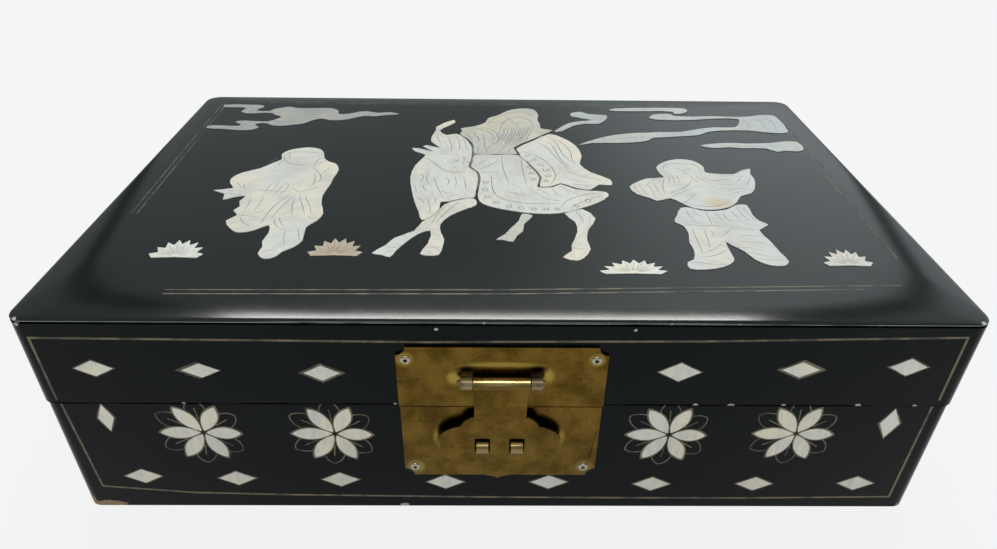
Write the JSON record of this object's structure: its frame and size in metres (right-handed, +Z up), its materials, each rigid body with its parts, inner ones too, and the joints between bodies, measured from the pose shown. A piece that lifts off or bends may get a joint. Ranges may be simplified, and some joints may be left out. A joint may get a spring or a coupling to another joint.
{
  "type": "lacquer jewelry box",
  "caption": "Black lacquered wooden jewelry box with a hinged lid, a brass hasp lock, shell inlay on the lid, a lift-out tray and a mirror inside.",
  "frame": {"origin": "middle of the underside, in the plane the box rests on", "axes": "+X to the right as seen from the front, +Y to the back, +Z up; the lock is on the -Y face"},
  "size_m": [0.306, 0.2021, 0.088],
  "materials": {
    "lacquer": "polished black lacquer over wood",
    "shell": "satin mother-of-pearl",
    "aged_brass": "aged, brushed, brown in the hollows",
    "bright_brass": "rubbed bright",
    "velvet": "dark red velvet",
    "silvering": "silvered glass",
    "gold_line": "thin gold paint",
    "screw": "nickelled, dull",
    "engraving": "dark line filled with lacquer",
    "bare_wood": "bare where the lacquer has chipped"
  },
  "bodies": {
    "base": {"base_front_wall": "lacquer", "base_back_wall": "lacquer", "base_left_wall": "lacquer", "base_right_wall": "lacquer", "base_bottom_board": "lacquer", "lining_floor_pad": "velvet", "lining_front": "velvet", "lining_back": "velvet", "lining_left": "velvet", "lining_right": "velvet", "hinge_lower_leaf_left": "aged_brass", "hinge_lower_leaf_right": "aged_brass", "hinge_pin_left": "aged_brass", "hinge_pin_right": "aged_brass", "lock_plate_lower": "aged_brass", "staple_left": "bright_brass", "staple_right": "bright_brass"},
    "lid": {"lid_front_wall": "lacquer", "lid_back_wall": "lacquer", "lid_left_wall": "lacquer", "lid_right_wall": "lacquer", "lid_top_board": "lacquer", "shell_cloud_left": "shell", "shell_cloud_back": "shell", "shell_cloud_right": "shell", "shell_cloud_low": "shell", "shell_left_attendant": "shell", "shell_right_attendant_coat": "shell", "shell_right_attendant_robe": "shell", "shell_rider_body": "shell", "shell_rider_sleeve": "shell", "shell_rider_skirt": "shell", "shell_beast_head": "shell", "shell_beast_foreleg": "shell", "shell_beast_hind_leg": "shell", "shell_beast_far_hind_leg": "shell", "shell_ribbon": "shell", "shell_tuft_far_left": "shell", "shell_tuft_left": "shell", "shell_tuft_middle": "shell", "shell_tuft_right": "shell", "hinge_upper_leaf_left": "aged_brass", "hinge_upper_leaf_right": "aged_brass", "lock_plate_upper": "aged_brass", "latch_eye_left": "bright_brass", "latch_eye_right": "bright_brass", "latch_pin": "bright_brass", "lid_lining_panel": "velvet", "mirror_frame": "aged_brass", "mirror_glass": "silvering"},
    "hasp": {"hasp_flap": "aged_brass"},
    "tray": {"tray_floor": "velvet", "tray_front_wall": "velvet", "tray_back_wall": "velvet", "tray_left_wall": "velvet", "tray_right_wall": "velvet", "tray_long_divider": "velvet", "tray_back_divider": "velvet", "tray_front_divider": "velvet", "tray_ring_pad": "velvet"}
  },
  "joints": [
    {"name": "lid_hinge", "type": "hinge", "parent": "base", "child": "lid", "pos_m": [0, 0.0943, 0.05165], "axis": [-1, 0, 0], "range_deg": [0, 94]},
    {"name": "hasp_hinge", "type": "hinge", "parent": "lid", "child": "hasp", "pos_m": [-0.0002, -0.10125, 0.0643], "axis": [-1, 0, 0], "range_deg": [0, 175]},
    {"name": "tray_lift", "type": "slide", "parent": "base", "child": "tray", "axis": [0, 0, 1], "range_m": [0, 0.026]}
  ]
}
